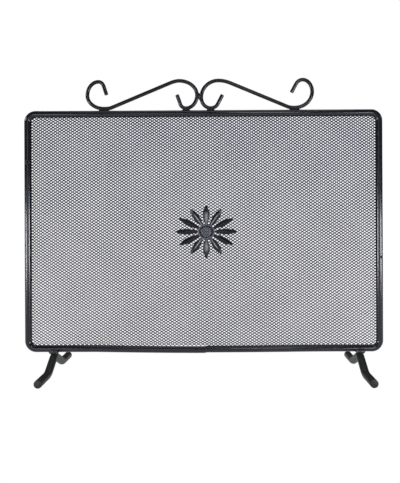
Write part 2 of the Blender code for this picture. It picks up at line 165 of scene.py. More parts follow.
# The ring of faintly cool panels in front: the bearing from straight ahead, height and power of
# each.  Overhead and behind hang two neutral ones.
for name, bearing, height, watts in (
        ("low_far_left", -64, 0.10, 14.0), ("low_left", -40, 0.10, 5.4),
        ("low_near_left", -24, 0.10, 2.4), ("low_near_right", 24, 0.10, 4.8),
        ("low_right", 40, 0.10, 4.6), ("low_far_right", 55, 0.10, 15.0),
        ("middle", -8, 0.45, 1.1), ("high_left", -78, 0.95, 7.7),
        ("high_middle", 8, 0.95, 3.6), ("high_right", 78, 0.95, 1.4)):
    turn = math.radians(bearing)
    place = (RING_RADIUS * math.sin(turn), -RING_RADIUS * math.cos(turn), height)
    add_soft_panel(name + "_panel", place, RING_PANEL_SIZE, watts, "#f4f6ff")
add_soft_panel("top_panel", (0.0, -0.4, 2.0), (1.2, 1.2), 5.6, "#ffffff")
add_soft_panel("rim_panel", (0.0, 0.8, 1.2), (1.2, 0.6), 4.4, "#ffffff")


# ---- Frame tube ------------------------------------------------------------------------------
# One length of mild steel tube, 11.4 mm across with a 1.2 mm wall, bent round four corners.  Its
# ends meet in the bottom rail, a little right of the middle, where both hang slightly low.

tube_low, tube_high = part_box("frame_tube")
TUBE_RADIUS = tube_high.y
TUBE_WALL = 0.0012
RAIL_X = tube_high.x - TUBE_RADIUS
TOP_RAIL_Z = tube_high.z - TUBE_RADIUS
FRAME_LIFT = 0.034
BOTTOM_RAIL_Z = FRAME_LIFT + TUBE_RADIUS
CORNER_BEND = 0.0133
JOINT_X = sum(corner.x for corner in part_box("frame_joint_weld")) / 2
JOINT_GROOVE = 0.0020
SAG_LEFT, SAG_RIGHT, SAG_REACH = 0.0021, 0.0012, 0.185
TUBE_SIDES = 40
BEND_STEPS = 14
SAG_STEPS = 24


def round_corners(corners, radii, steps):
    """A flat polyline with each inner corner swapped for an arc: the arc's centre lies on the line
    that halves the corner, at the radius over the sine of half the angle, and the arc is swept from
    the first tangent point in even steps."""
    corners = [np.array(c, dtype=float) for c in corners]
    parts = [corners[0][None]]
    for before, corner, after, radius in zip(corners, corners[1:], corners[2:], radii):
        back = (before - corner) / np.linalg.norm(before - corner)
        ahead = (after - corner) / np.linalg.norm(after - corner)
        half = math.acos(float(np.clip(back @ ahead, -1, 1))) / 2
        centre = corner + (back + ahead) / np.linalg.norm(back + ahead) * radius / math.sin(half)
        start = corner + back * radius / math.tan(half) - centre
        angle = np.linspace(0, math.pi - 2 * half, steps + 1)[:, None]
        parts.append(centre + start * np.cos(angle) - back * radius * np.sin(angle))
    parts.append(corners[-1][None])
    return np.vstack(parts)


def sweep(path, radii, sides, across):
    """Rings round a flat path.  Ring i stands at right angles to the path's mean heading at point i,
    and its points are centre + radius * (cosine along the in-plane normal + sine along `across`)."""
    steps = np.diff(path, axis=0)
    length = np.linalg.norm(steps, axis=1)[:, None]
    steps = steps / np.maximum(length, 1e-9)
    heading = np.vstack([steps[:1], steps[:-1] + steps[1:], steps[-1:]])
    heading /= np.linalg.norm(heading, axis=1)[:, None]
    normal = np.cross(across, heading)
    angle = np.linspace(0, 2 * math.pi, sides, endpoint=False)
    ring = (np.cos(angle)[None, :, None] * normal[:, None, :]
            + np.sin(angle)[None, :, None] * np.array(across, dtype=float)[None, None, :])
    return path[:, None, :] + np.broadcast_to(radii, len(path))[:, None, None] * ring


def quads_between(rows, columns, first=0, wrap=True):
    """Faces of a grid of points, row by row; with wrap the last column joins the first."""
    i, j = np.meshgrid(np.arange(rows - 1), np.arange(columns if wrap else columns - 1),
                       indexing="ij")
    k = (j + 1) % columns
    corners = [i * columns + j, i * columns + k, (i + 1) * columns + k, (i + 1) * columns + j]
    return first + np.stack(corners, axis=-1).reshape(-1, 4)


def add_piece(name, points, faces, material, sharp=40.0):
    """A named mesh object at the origin with its faces turned outwards and shaded smooth, except
    across edges sharper than `sharp` degrees."""
    mesh = bpy.data.meshes.new(name)
    mesh.from_pydata(np.asarray(points).reshape(-1, 3).tolist(), [], faces)
    work = bmesh.new()
    work.from_mesh(mesh)
    bmesh.ops.recalc_face_normals(work, faces=work.faces)
    work.to_mesh(mesh)
    work.free()
    mesh.materials.append(material)
    mesh.shade_smooth()
    mesh.set_sharp_from_angle(angle=math.radians(sharp))
    piece = bpy.data.objects.new(name, mesh)
    bpy.context.scene.collection.objects.link(piece)
    return piece


def solid_bar(path, radii, sides, across):
    """Points and faces of a bar along the path, its two ends closed by flat discs."""
    rings = sweep(path, radii, sides, across)
    rows = len(rings)
    faces = quads_between(rows, sides).tolist()
    faces.append(list(range(sides))[::-1])
    faces.append([(rows - 1) * sides + j for j in range(sides)])
    return rings.reshape(-1, 3), faces


def open_tube(path, radius, wall, sides, across):
    """Points and faces of a tube with a wall: an outer and an inner surface, joined at the ends."""
    outer, inner = sweep(path, radius, sides, across), sweep(path, radius - wall, sides, across)
    rows, count = len(outer), len(outer) * sides
    faces = quads_between(rows, sides).tolist()
    faces += quads_between(rows, sides, first=count)[:, ::-1].tolist()
    j = np.arange(sides)
    k = (j + 1) % sides
    last = (rows - 1) * sides
    faces += np.stack([k, j, j + count, k + count], axis=1).tolist()
    faces += (last + np.stack([j, k, k + count, j + count], axis=1)).tolist()
    return np.vstack([outer.reshape(-1, 3), inner.reshape(-1, 3)]), faces


def frame_line():
    """The tube's centre line, anticlockwise from the joint.  Towards the joint each end of the
    bottom rail drops by its sag times the cosine of its share of the reach."""
    start, end = JOINT_X + JOINT_GROOVE / 2, JOINT_X - JOINT_GROOVE / 2
    bends = round_corners(
        [(start, BOTTOM_RAIL_Z), (RAIL_X, BOTTOM_RAIL_Z), (RAIL_X, TOP_RAIL_Z),
         (-RAIL_X, TOP_RAIL_Z), (-RAIL_X, BOTTOM_RAIL_Z), (end, BOTTOM_RAIL_Z)],
        [CORNER_BEND] * 4, BEND_STEPS)
    reach = np.linspace(0, SAG_REACH, SAG_STEPS + 1)[1:]
    right = np.column_stack([start + reach, np.full(SAG_STEPS, BOTTOM_RAIL_Z)])
    left = np.column_stack([end - reach[::-1], np.full(SAG_STEPS, BOTTOM_RAIL_Z)])
    line = np.vstack([bends[:1], right, bends[1:-1], left, bends[-1:]])
    share = np.clip(np.abs(line[:, 0] - JOINT_X) / SAG_REACH, 0, 1)
    sag = np.where(line[:, 0] < JOINT_X, SAG_LEFT, SAG_RIGHT) * np.cos(share * math.pi / 2)
    line[:, 1] -= np.where(line[:, 1] < BOTTOM_RAIL_Z + 1e-6, sag, 0)
    return np.column_stack([line[:, 0], np.zeros(len(line)), line[:, 1]])


# Satin black stove enamel, sprayed on cleaned tube: charcoal with a cool cast, a fine orange peel
# about 1.5 mm across, and cloudy patches where the spray lay thinner or dust has settled.
tube_enamel, tree = new_material("satin_black_stove_enamel")
place = add_node(tree, "ShaderNodeTexCoord").outputs["Object"]
clouds = add_node(tree, "ShaderNodeTexNoise", {"Scale": 16.0, "Detail": 4.0}, {"Vector": place})
tone = add_node(tree, "ShaderNodeValToRGB", links={"Fac": clouds.outputs["Fac"]})
tone.color_ramp.elements[0].position, tone.color_ramp.elements[1].position = 0.35, 0.70
tone.color_ramp.elements[0].color = linear("#121217")
tone.color_ramp.elements[1].color = linear("#1a1b22")
gloss = add_node(tree, "ShaderNodeMapRange", {"To Min": 0.11, "To Max": 0.18},
                 {"Value": clouds.outputs["Fac"]})
colour, dull = tone.outputs["Color"], gloss.outputs["Result"]
# Small marks, each a few millimetres across: a painted highlight above painted shade on the right
# rail and painted shade on the left rail, standing in for small dents, and a dark spot over the
# joint. Each is full colour inside half of its width and has gone at the whole of it.
for mark_centre, width, shade in (
        ((-RAIL_X, -TUBE_RADIUS, 0.353), 0.00432, "#08080a"),
        ((RAIL_X + 0.002, -TUBE_RADIUS, 0.2005), 0.00312, "#8a8c9a"),
        ((RAIL_X + 0.002, -TUBE_RADIUS, 0.1925), 0.00288, "#08080a"),
        ((JOINT_X, -TUBE_RADIUS, BOTTOM_RAIL_Z + TUBE_RADIUS), 0.00480, "#050506")):
    away = add_node(tree, "ShaderNodeVectorMath", {"operation": "DISTANCE", 1: mark_centre}, {0: place})
    share = add_node(tree, "ShaderNodeMapRange", {"From Min": width, "From Max": width / 2},
                     {"Value": away.outputs["Value"]})
    # Mix in the mark's colour: painted highlight, painted shade, or the joint's dark spot.
    painted_mark = add_node(tree, "ShaderNodeMix", {"data_type": "RGBA", 7: linear(shade)},
                      {0: share.outputs["Result"], 6: colour})
    colour = painted_mark.outputs[2]
    dull = add_node(tree, "ShaderNodeMath", {"operation": "MAXIMUM"},
                    {0: dull, 1: share.outputs["Result"]}).outputs["Value"]
peel = add_node(tree, "ShaderNodeTexNoise", {"Scale": 650.0, "Detail": 1.0}, {"Vector": place})
relief = add_node(tree, "ShaderNodeBump", {"Strength": 0.03, "Distance": 0.0002},
                  {"Height": peel.outputs["Fac"]})
enamel = add_node(tree, "ShaderNodeBsdfPrincipled", {"Specular IOR Level": 0.4},
                  {"Base Color": colour, "Roughness": dull, "Normal": relief.outputs["Normal"]})
add_node(tree, "ShaderNodeOutputMaterial", links={"Surface": enamel.outputs["BSDF"]})

points, faces = open_tube(frame_line(), TUBE_RADIUS, TUBE_WALL, TUBE_SIDES, (0, 1, 0))
bent_tube = add_piece("bent_tube", points, faces, tube_enamel)
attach(bent_tube, "root")
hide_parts("frame_tube")


# ---- Joint weld ------------------------------------------------------------------------------
# The bead of weld metal that fills the groove between the tube's two ends.  It is ground almost
# flush and left slightly lumpy.

joint_low, joint_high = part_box("frame_joint_weld")
JOINT_HALF = JOINT_GROOVE / 2
JOINT_Z = (joint_low.z + joint_high.z) / 2
BEAD_ROWS = 7
BEAD_DROP = 0.0003            # how far the bead falls off towards its two sides
BEAD_WAVE = 0.00012           # half the height of the waves round it


def bead_ring(centre, radius, bore, half_width, sides, rows):
    """A ring round the X axis with a rounded rim: at share t of its half width the rim stands at
    the radius less the drop times t squared, and less the wave times 1 + the sine of three turns."""
    angle = np.linspace(0, 2 * math.pi, sides, endpoint=False)
    share = np.linspace(-1, 1, rows)[:, None]
    rim = radius - BEAD_DROP * share ** 2 - BEAD_WAVE * (1 + np.sin(3 * angle + 0.7))
    reach = np.vstack([np.full((1, sides), bore), rim, np.full((1, sides), bore)])
    along = half_width * np.vstack([[-1], share, [1]])
    return np.stack([centre[0] + np.broadcast_to(along, reach.shape),
                     centre[1] + reach * np.cos(angle), centre[2] + reach * np.sin(angle)], axis=-1)


def last_to_first(rows, sides):
    """Faces that join the last ring of a grid of rings to its first."""
    j = np.arange(sides)
    k = (j + 1) % sides
    last = (rows - 1) * sides
    return np.stack([last + j, last + k, k, j], axis=1)


# Enamel over weld metal: the same black, with ripples about 2 mm apart and grains of spatter.
weld_enamel, tree = new_material("black_enamel_over_weld_metal")
place = add_node(tree, "ShaderNodeTexCoord").outputs["Object"]
ripples = add_node(tree, "ShaderNodeTexNoise", {"Scale": 420.0, "Detail": 2.0}, {"Vector": place})
tone = add_node(tree, "ShaderNodeValToRGB", links={"Fac": ripples.outputs["Fac"]})
tone.color_ramp.elements[0].position, tone.color_ramp.elements[1].position = 0.40, 0.75
tone.color_ramp.elements[0].color = linear("#101012")
tone.color_ramp.elements[1].color = linear("#1d1d20")
relief = add_node(tree, "ShaderNodeBump", {"Strength": 0.8, "Distance": 0.0006},
                  {"Height": ripples.outputs["Fac"]})
enamel = add_node(tree, "ShaderNodeBsdfPrincipled", {"Specular IOR Level": 0.45, "Roughness": 0.34},
                  {"Base Color": tone.outputs["Color"], "Normal": relief.outputs["Normal"]})
add_node(tree, "ShaderNodeOutputMaterial", links={"Surface": enamel.outputs["BSDF"]})

rings = bead_ring((JOINT_X, 0, JOINT_Z), TUBE_RADIUS, TUBE_RADIUS - TUBE_WALL, JOINT_HALF,
                  TUBE_SIDES, BEAD_ROWS)
faces = np.vstack([quads_between(len(rings), TUBE_SIDES), last_to_first(len(rings), TUBE_SIDES)])
joint_bead = add_piece("joint_bead", rings, faces.tolist(), weld_enamel)
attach(joint_bead, "root")
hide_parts("frame_joint_weld")


# ---- Expanded metal panel --------------------------------------------------------------------
# One sheet of thin steel, slit and pulled open into staggered diamonds, then dished a few
# millimetres forward.  Its rim lies on the back of the tube and is tacked there.

panel_low, panel_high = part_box("mesh_panel")
panel_centre, panel_size = (panel_low + panel_high) / 2, panel_high - panel_low
SHEET_THICKNESS = 0.0008
DIAMOND_LONG = 0.00726        # the diamonds' pitch along X
DIAMOND_SHORT = 0.00485       # and along Z
FIRST_KNOT = (0.00193, 0.00063)           # a knot's place, from the sheet's middle
PULL = (0.00105, 0.00060)     # how much wider and taller the pulled middle is than the rim
KNOT_HALF_LONG = 0.00145      # half the length and half the height of the knots between them
KNOT_HALF_SHORT = 0.00100
KNOT_TILT = 0.00035           # how far a knot's upper corner lies behind its middle
THINNED_DOWN = 0.225          # how much thinner the strands are at the bottom than at the top
THINNED_ASIDE = (0.050, 0.085)            # and at the sides: at the top, and what the bottom adds
THINNED_WAVES = 0.030
TOP_THICKNESS = 1.040
RIM_THICKNESS = 0.0010
PANEL_FACE = panel_low.y
PANEL_BACK = panel_high.y - RIM_THICKNESS
PANEL_SLOPE = 0.0050          # width of the sloping band
PANEL_MARGIN = TUBE_RADIUS + 0.0005       # from the outline to the slope, just seen inside the tube
SHEET_CORNER = CORNER_BEND
OUTLINE_ROOM = 0.0012         # no knot stands closer to the outline
RIVET_X = sum(corner.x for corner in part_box("rosette_boss")) / 2
RIVET_Z = sum(corner.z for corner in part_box("rosette_boss")) / 2
RIVET_ROOM = 0.0034           # nor to the rivet


def inside_outline(x, z):
    """Distance inside the sheet's outline, a rectangle with round corners: the signed distance to
    the inner rectangle's corner where both offsets are positive, less the corner radius."""
    qx = np.abs(x - panel_centre.x) - (panel_size.x / 2 - SHEET_CORNER)
    qz = np.abs(z - panel_centre.z) - (panel_size.z / 2 - SHEET_CORNER)
    beyond = np.hypot(np.maximum(qx, 0), np.maximum(qz, 0)) + np.minimum(np.maximum(qx, qz), 0)
    return SHEET_CORNER - beyond


def dished(inside):
    """Front face of the sheet: the rim's level, eased by a smooth step down to the middle's."""
    share = np.clip((inside - PANEL_MARGIN) / PANEL_SLOPE, 0, 1)
    return PANEL_BACK - (PANEL_BACK - PANEL_FACE - KNOT_TILT) * share ** 2 * (3 - 2 * share)


def pulled(x, z):
    """A point of the even lattice on the finished sheet, whose middle was pulled open further than
    its rim: it moves away from the middle by a full sine wave along its own axis, which fades as a
    cosine across the other."""
    u, v = (x - panel_centre.x) / panel_size.x, (z - panel_centre.z) / panel_size.z
    return (x + PULL[0] * np.sin(2 * math.pi * u) * np.cos(math.pi * v),
            z + PULL[1] * np.sin(2 * math.pi * v) * np.cos(math.pi * u))


def slimness(x, z):
    """Size of the knots and strands over their size at the top: the sheet is stretched more, and so
    drawn thinner, in proportion to the drop from the top and to the square of the way sideways,
    with faint waves some 150 mm apart, the product of two sines, where the rollers gripped it."""
    drop = (panel_high.z - z) / panel_size.z
    aside = 2 * (x - panel_centre.x) / panel_size.x
    waves = np.sin(x / 0.021 + 1.3 * np.sin(z / 0.034)) * np.sin(z / 0.026 - 0.8 + x / 0.09)
    thinned = THINNED_DOWN * drop + (THINNED_ASIDE[0] + THINNED_ASIDE[1] * drop) * aside ** 2
    return TOP_THICKNESS - thinned + THINNED_WAVES * waves


def expanded_sheet():
    """Front corners and front faces of the whole sheet.  Knots stand on every second crossing of a
    grid half a diamond apart; each is a four-cornered plate, and each strand is the quad between a
    knot's upper side and the lower side of the knot above it to the right or to the left."""
    columns = int(panel_size.x / DIAMOND_LONG) + 2
    rows = int(panel_size.z / DIAMOND_SHORT) + 2
    i, j = np.meshgrid(np.arange(-columns, columns + 1), np.arange(-rows, rows + 1), indexing="ij")
    x = panel_centre.x + FIRST_KNOT[0] + i * DIAMOND_LONG / 2
    z = panel_centre.z + FIRST_KNOT[1] + j * DIAMOND_SHORT / 2
    x, z = pulled(x, z)
    kept = ((i + j) % 2 == 0) & (inside_outline(x, z) > OUTLINE_ROOM)
    kept &= np.hypot(x - RIVET_X, z - RIVET_Z) > RIVET_ROOM
    number = np.where(kept, np.cumsum(kept.ravel()).reshape(kept.shape) - 1, -1)
    knots = np.stack([x[kept], z[kept]], axis=1)
    reach = np.array([(-KNOT_HALF_LONG, 0), (0, -KNOT_HALF_SHORT),
                      (KNOT_HALF_LONG, 0), (0, KNOT_HALF_SHORT)])
    flat = knots[:, None, :] + slimness(*knots.T)[:, None, None] * reach[None, :, :]
    tilt = np.array([0, -KNOT_TILT, 0, KNOT_TILT])[None, :]
    depth = dished(inside_outline(flat[..., 0], flat[..., 1])) + tilt
    points = np.stack([flat[..., 0], depth, flat[..., 1]], axis=-1).reshape(-1, 3)
    left, low, right, top = 0, 1, 2, 3
    own = 4 * np.arange(len(knots))[:, None]
    faces = [own + np.array([left, low, right, top])]
    here, above_right = number[:-1, :-1], number[1:, 1:]
    both = (here >= 0) & (above_right >= 0)
    a, c = 4 * here[both][:, None], 4 * above_right[both][:, None]
    faces.append(np.hstack([a + right, c + low, c + left, a + top]))
    here, above_left = number[1:, :-1], number[:-1, 1:]
    both = (here >= 0) & (above_left >= 0)
    a, d = 4 * here[both][:, None], 4 * above_left[both][:, None]
    faces.append(np.hstack([a + left, a + top, d + right, d + low]))
    return points, np.vstack(faces)


def thick_sheet(points, faces, thickness):
    """A closed sheet from its front faces: the same faces turned round behind, and a wall on each
    directed edge that no neighbour uses the other way."""
    used, faces = np.unique(faces, return_inverse=True)
    faces = faces.reshape(-1, 4)
    front = points[used]
    count = len(front)
    starts, ends = faces.ravel(), np.roll(faces, -1, axis=1).ravel()
    free = ~np.isin(starts * count + ends, ends * count + starts)
    a, b = starts[free], ends[free]
    walls = np.stack([b, a, a + count, b + count], axis=1)
    both_sides = np.vstack([front, front + np.array([0, thickness, 0])])
    return both_sides, np.vstack([faces, faces[:, ::-1] + count, walls])


# Black enamel dipped on expanded steel: charcoal with a blue cast, and painted shade with a painted
# blue light that deepen towards the top and the right and ease to grey below, with slow patches of
# thinner paint some 140 mm across.
mesh_enamel, tree = new_material("dipped_black_enamel_on_expanded_steel")
place = add_node(tree, "ShaderNodeTexCoord").outputs["Object"]
patches = add_node(tree, "ShaderNodeTexNoise", {"Scale": 7.0, "Detail": 2.0}, {"Vector": place})
# Painted shade and painted blue light: the tone runs darker and bluer up the sheet and to the right.
slope = add_node(tree, "ShaderNodeVectorMath",
                 {"operation": "DOT_PRODUCT", 1: (0.30, 0.0, 1.4)}, {0: place})
patches_and_painted_shade = add_node(tree, "ShaderNodeMath", {"operation": "MULTIPLY_ADD", 1: 0.4},
                {0: patches.outputs["Fac"], 2: slope.outputs["Value"]})
tone = add_node(tree, "ShaderNodeValToRGB", links={"Fac": patches_and_painted_shade.outputs["Value"]})
tone.color_ramp.elements[0].position, tone.color_ramp.elements[1].position = 0.20, 0.80
tone.color_ramp.elements[0].color = linear("#222235")
tone.color_ramp.elements[1].color = linear("#111538")
grit = add_node(tree, "ShaderNodeTexNoise", {"Scale": 900.0, "Detail": 1.0}, {"Vector": place})
gloss = add_node(tree, "ShaderNodeMapRange", {"To Min": 0.40, "To Max": 0.64},
                 {"Value": grit.outputs["Fac"]})
enamel = add_node(tree, "ShaderNodeBsdfPrincipled", {"Specular IOR Level": 0.25},
                  {"Base Color": tone.outputs["Color"], "Roughness": gloss.outputs["Result"]})
add_node(tree, "ShaderNodeOutputMaterial", links={"Surface": enamel.outputs["BSDF"]})

sheet_points, sheet_faces = expanded_sheet()
face_height = sheet_points[sheet_faces[:, 0], 2]
for part, chosen in (("lower", face_height < panel_centre.z),
                     ("upper", face_height >= panel_centre.z)):
    points, faces = thick_sheet(sheet_points, sheet_faces[chosen], SHEET_THICKNESS)
    half_sheet = add_piece("expanded_metal_" + part, points, faces.tolist(), mesh_enamel)
    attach(half_sheet, "root")
    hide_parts("mesh_panel")


# ---- Scrolls ---------------------------------------------------------------------------------
# Two mild steel rods, 6.3 mm thick, bent cold to S scrolls as a pair and sawn off square.  They
# stand on the top rail, each touching it twice, and touch each other with their inner curls.

scroll_low, scroll_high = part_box("left_scroll")
ROD_RADIUS = scroll_high.y
ROD_STANDOFF = 0.0003
RAIL_TOP = tube_high.z
PAIR_X = (scroll_high.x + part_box("right_scroll")[0].x) / 2
ROD_TOUCH = PAIR_X - scroll_high.x + ROD_RADIUS
ROD_SIDES = 28
CURL_STEPS = 22
NEARLY_STRAIGHT = math.radians(5)
EDGE_BREAK = 0.0004           # the small rounding that the file and the paint give a sawn end
EDGE_SHOULDER = 0.3           # share of it at which the rounding is steepest

# Bends in mm: (out from where the pair touch, up from the rail, heading in degrees)
UP = 1000 * (ROD_RADIUS + ROD_STANDOFF)
SIDE = 1000 * ROD_TOUCH
SCROLL_BENDS = {
    "left": [(155.4, 26.5, 72.6), (159.9, 40.5, 72.6), (168.7, 48.5, 0), (187.6, 25.4, -90),
             (159.9, UP, -180), (147.1, 5.0, -202.5), (48.8, 45.7, -202.5), (33.5, 49.4, -180),
             (SIDE, 25.2, -90), (22.0, UP, 0), (31.3, 9.6, 70.5), (37.0, 25.8, 70.5)],
    "right": [(154.7, 28.9, 61.6), (162.5, 43.3, 61.6), (173.4, 50.1, 0), (189.3, 30.0, -90),
              (159.8, UP, -180), (147.5, 5.4, -202.6), (52.6, 45.2, -202.6), (32.0, 49.5, -180),
              (SIDE, 21.1, -90), (19.4, UP, 0), (31.1, 10.1, 62.0), (39.2, 25.4, 62.0)]}


def scroll_line(bends, steps):
    """A rod through its bends: straight where two headings agree, else a curve whose two handles
    reach towards the crossing of the headings by 4/3 tan(turn/4) / tan(turn/2) of the way."""
    t = np.linspace(0, 1, steps, endpoint=False)[:, None]
    parts = []
    for (x0, z0, h0), (x1, z1, h1) in zip(bends, bends[1:]):
        start, end = np.array([x0, z0]), np.array([x1, z1])
        away = np.array([math.cos(math.radians(h0)), math.sin(math.radians(h0))])
        into = np.array([math.cos(math.radians(h1)), math.sin(math.radians(h1))])
        turn = math.radians(abs((h1 - h0 + 180) % 360 - 180))
        if turn < NEARLY_STRAIGHT:
            parts.append(start + (end - start) * t)
            continue
        reach = np.linalg.solve(np.column_stack([away, into]), end - start)
        share = 4 / 3 * math.tan(turn / 4) / math.tan(turn / 2)
        first, second = start + away * reach[0] * share, end - into * reach[1] * share
        parts.append((1 - t) ** 3 * start + 3 * t * (1 - t) ** 2 * first
                     + 3 * t ** 2 * (1 - t) * second + t ** 3 * end)
    parts.append(np.array([bends[-1][:2]]))
    return np.vstack(parts) / 1000


def with_broken_ends(line, radius):
    """The line with two more points close to each end, and a radius for each point that eases the
    square edge of the sawn end."""
    ahead = (line[1] - line[0]) / np.linalg.norm(line[1] - line[0])
    back = (line[-2] - line[-1]) / np.linalg.norm(line[-2] - line[-1])
    shoulder = EDGE_BREAK * EDGE_SHOULDER
    near = [line[0], line[0] + ahead * shoulder, line[0] + ahead * EDGE_BREAK]
    far = [line[-1] + back * EDGE_BREAK, line[-1] + back * shoulder, line[-1]]
    eased = [radius - EDGE_BREAK, radius - shoulder, radius]
    middle = np.full(len(line) - 2, radius)
    return np.vstack([near, line[1:-1], far]), np.concatenate([eased, middle, eased[::-1]])


# Satin black enamel on bent rod: near black, with a grain a millimetre or two across and slightly
# greyer patches, some 20 mm long, where hands have rubbed it.
rod_enamel, tree = new_material("satin_black_enamel_on_bent_rod")
place = add_node(tree, "ShaderNodeTexCoord").outputs["Object"]
handling = add_node(tree, "ShaderNodeTexNoise", {"Scale": 55.0, "Detail": 4.0}, {"Vector": place})
tone = add_node(tree, "ShaderNodeValToRGB", links={"Fac": handling.outputs["Fac"]})
tone.color_ramp.elements[0].position, tone.color_ramp.elements[1].position = 0.40, 0.72
tone.color_ramp.elements[0].color = linear("#0e0e12")
tone.color_ramp.elements[1].color = linear("#16161b")
gloss = add_node(tree, "ShaderNodeMapRange", {"To Min": 0.16, "To Max": 0.26},
                 {"Value": handling.outputs["Fac"]})
grain = add_node(tree, "ShaderNodeTexNoise", {"Scale": 700.0, "Detail": 2.0}, {"Vector": place})
relief = add_node(tree, "ShaderNodeBump", {"Strength": 0.07, "Distance": 0.0002},
                  {"Height": grain.outputs["Fac"]})
enamel = add_node(tree, "ShaderNodeBsdfPrincipled", {"Specular IOR Level": 0.3},
                  {"Base Color": tone.outputs["Color"], "Roughness": gloss.outputs["Result"],
                   "Normal": relief.outputs["Normal"]})
add_node(tree, "ShaderNodeOutputMaterial", links={"Surface": enamel.outputs["BSDF"]})

for name, mirror in (("left", -1), ("right", 1)):
    flat = scroll_line(SCROLL_BENDS[name], CURL_STEPS)
    line = np.column_stack([PAIR_X + mirror * flat[:, 0], np.zeros(len(flat)),
                            RAIL_TOP + flat[:, 1]])
    line, radii = with_broken_ends(line, ROD_RADIUS)
    points, faces = solid_bar(line, radii, ROD_SIDES, (0, 1, 0))
    rod = add_piece(name + "_scroll_rod", points, faces, rod_enamel)
    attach(rod, "root")
    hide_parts(name + "_scroll")


# ---- Scroll welds ----------------------------------------------------------------------------
# A bead under each curl, run along the notch between rod and rail, and one upright bead between
# the two inner curls.  The metal has flowed a little up the rod and out along the rail.


def weld_lump(centre, half_sizes, ripple, around=28, rings=16):
    """A closed lump: an ellipsoid whose radius swells and sinks by `ripple` with the product of two
    sines along and round it, as overlapping puddles of weld metal do."""
    polar = np.linspace(0, math.pi, rings + 1)[1:-1]
    turn = np.linspace(0, 2 * math.pi, around, endpoint=False)
    p, a = np.meshgrid(polar, turn, indexing="ij")
    swell = 1 + ripple * np.sin(7 * p + 1.3 * np.sin(2 * a)) * np.cos(3 * a + 2 * p)
    ball = np.stack([np.cos(p), np.sin(p) * np.cos(a), np.sin(p) * np.sin(a)], axis=-1)
    ball = (ball * swell[..., None]).reshape(-1, 3)
    points = np.vstack([ball, [[1, 0, 0], [-1, 0, 0]]]) * np.array(half_sizes) + np.array(centre)
    faces = quads_between(rings - 1, around).tolist()
    first, last = len(ball), len(ball) + 1
    for j in range(around):
        k = (j + 1) % around
        faces.append([first, k, j])
        faces.append([last, len(ball) - around + j, len(ball) - around + k])
    return points, faces


for name in ("left_scroll_outer_weld", "left_scroll_inner_weld", "right_scroll_inner_weld",
             "right_scroll_outer_weld", "scroll_centre_weld"):
    low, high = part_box(name)
    points, faces = weld_lump((low + high) / 2, (high - low) / 2, ripple=0.05)
    bead = add_piece(name.replace("weld", "bead"), points, faces, weld_enamel)
    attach(bead, "root")
    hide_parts(name)


# ---- Feet ------------------------------------------------------------------------------------
# Two round bars, 13 mm thick, each bent to an arch under the bottom rail with a level toe in
# front and one behind.  The ends are sawn square and painted like the rest.

foot_low, foot_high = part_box("left_foot")
BAR_RADIUS = (foot_high.x - foot_low.x) / 2
TOE_REACH = foot_high.y
APEX_Z = foot_high.z - BAR_RADIUS
FRONT_SLOPE, REAR_SLOPE = math.radians(28.5), math.radians(23.5)
APEX_BEND, TOE_BEND = 0.013, 0.035
BAR_SIDES = 36


def foot_line(x):
    """The bar's centre line: toe, bend, leg, apex, leg, bend, toe.  The legs' corner stands above
    the apex by the bend's radius times (cosine of half the slopes' difference / cosine of half
    their sum - 1)."""
    sharpness = math.cos((FRONT_SLOPE - REAR_SLOPE) / 2) / math.cos((FRONT_SLOPE + REAR_SLOPE) / 2)
    corner_z = APEX_Z + APEX_BEND * (sharpness - 1)
    drop = corner_z - BAR_RADIUS
    flat = round_corners([(-TOE_REACH, BAR_RADIUS), (-drop / math.tan(FRONT_SLOPE), BAR_RADIUS),
                          (0, corner_z), (drop / math.tan(REAR_SLOPE), BAR_RADIUS),
                          (TOE_REACH, BAR_RADIUS)], [TOE_BEND, APEX_BEND, TOE_BEND], BEND_STEPS)
    return np.column_stack([np.full(len(flat), x), flat])


# Black enamel on hot-rolled bar: warmer and duller than the tube, with faint mill scale 3 to 5 mm
# across under the paint.
bar_enamel, tree = new_material("black_enamel_on_hot_rolled_bar")
place = add_node(tree, "ShaderNodeTexCoord").outputs["Object"]
scale_marks = add_node(tree, "ShaderNodeTexNoise", {"Scale": 240.0, "Detail": 5.0},
                       {"Vector": place})
tone = add_node(tree, "ShaderNodeValToRGB", links={"Fac": scale_marks.outputs["Fac"]})
tone.color_ramp.elements[0].position, tone.color_ramp.elements[1].position = 0.38, 0.72
tone.color_ramp.elements[0].color = linear("#1a1b1b")
tone.color_ramp.elements[1].color = linear("#292a29")
relief = add_node(tree, "ShaderNodeBump", {"Strength": 0.35, "Distance": 0.0004},
                  {"Height": scale_marks.outputs["Fac"]})
enamel = add_node(tree, "ShaderNodeBsdfPrincipled", {"Specular IOR Level": 0.25, "Roughness": 0.44},
                  {"Base Color": tone.outputs["Color"], "Normal": relief.outputs["Normal"]})
add_node(tree, "ShaderNodeOutputMaterial", links={"Surface": enamel.outputs["BSDF"]})

for name in ("left_foot", "right_foot"):
    foot_x = sum(corner.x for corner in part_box(name)) / 2
    line, radii = with_broken_ends(foot_line(foot_x), BAR_RADIUS)
    points, faces = solid_bar(line, radii, BAR_SIDES, (1, 0, 0))
    bar = add_piece(name + "_bar", points, faces, bar_enamel)
    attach(bar, "root")
    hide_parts(name)


# ---- Foot welds ------------------------------------------------------------------------------
# A heavy bead in front of each foot's apex and one behind, laid in the notch between bar and rail.
# Each has flowed up over the lower half of the rail and down both sides of the bar.

for name in ("left_foot_front_weld", "left_foot_rear_weld", "right_foot_front_weld",
             "right_foot_rear_weld"):
    low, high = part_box(name)
    points, faces = weld_lump((low + high) / 2, (high - low) / 2, ripple=0.08)
    bead = add_piece(name.replace("weld", "bead"), points, faces, weld_enamel)
    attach(bead, "root")
    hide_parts(name)


# ---- Rosette ---------------------------------------------------------------------------------
# A daisy pressed from 1 mm sheet: twelve pointed petals round an oval hub, each folded up along
# its middle with a low rim.  A rivet with a moulded head holds it on the mesh.

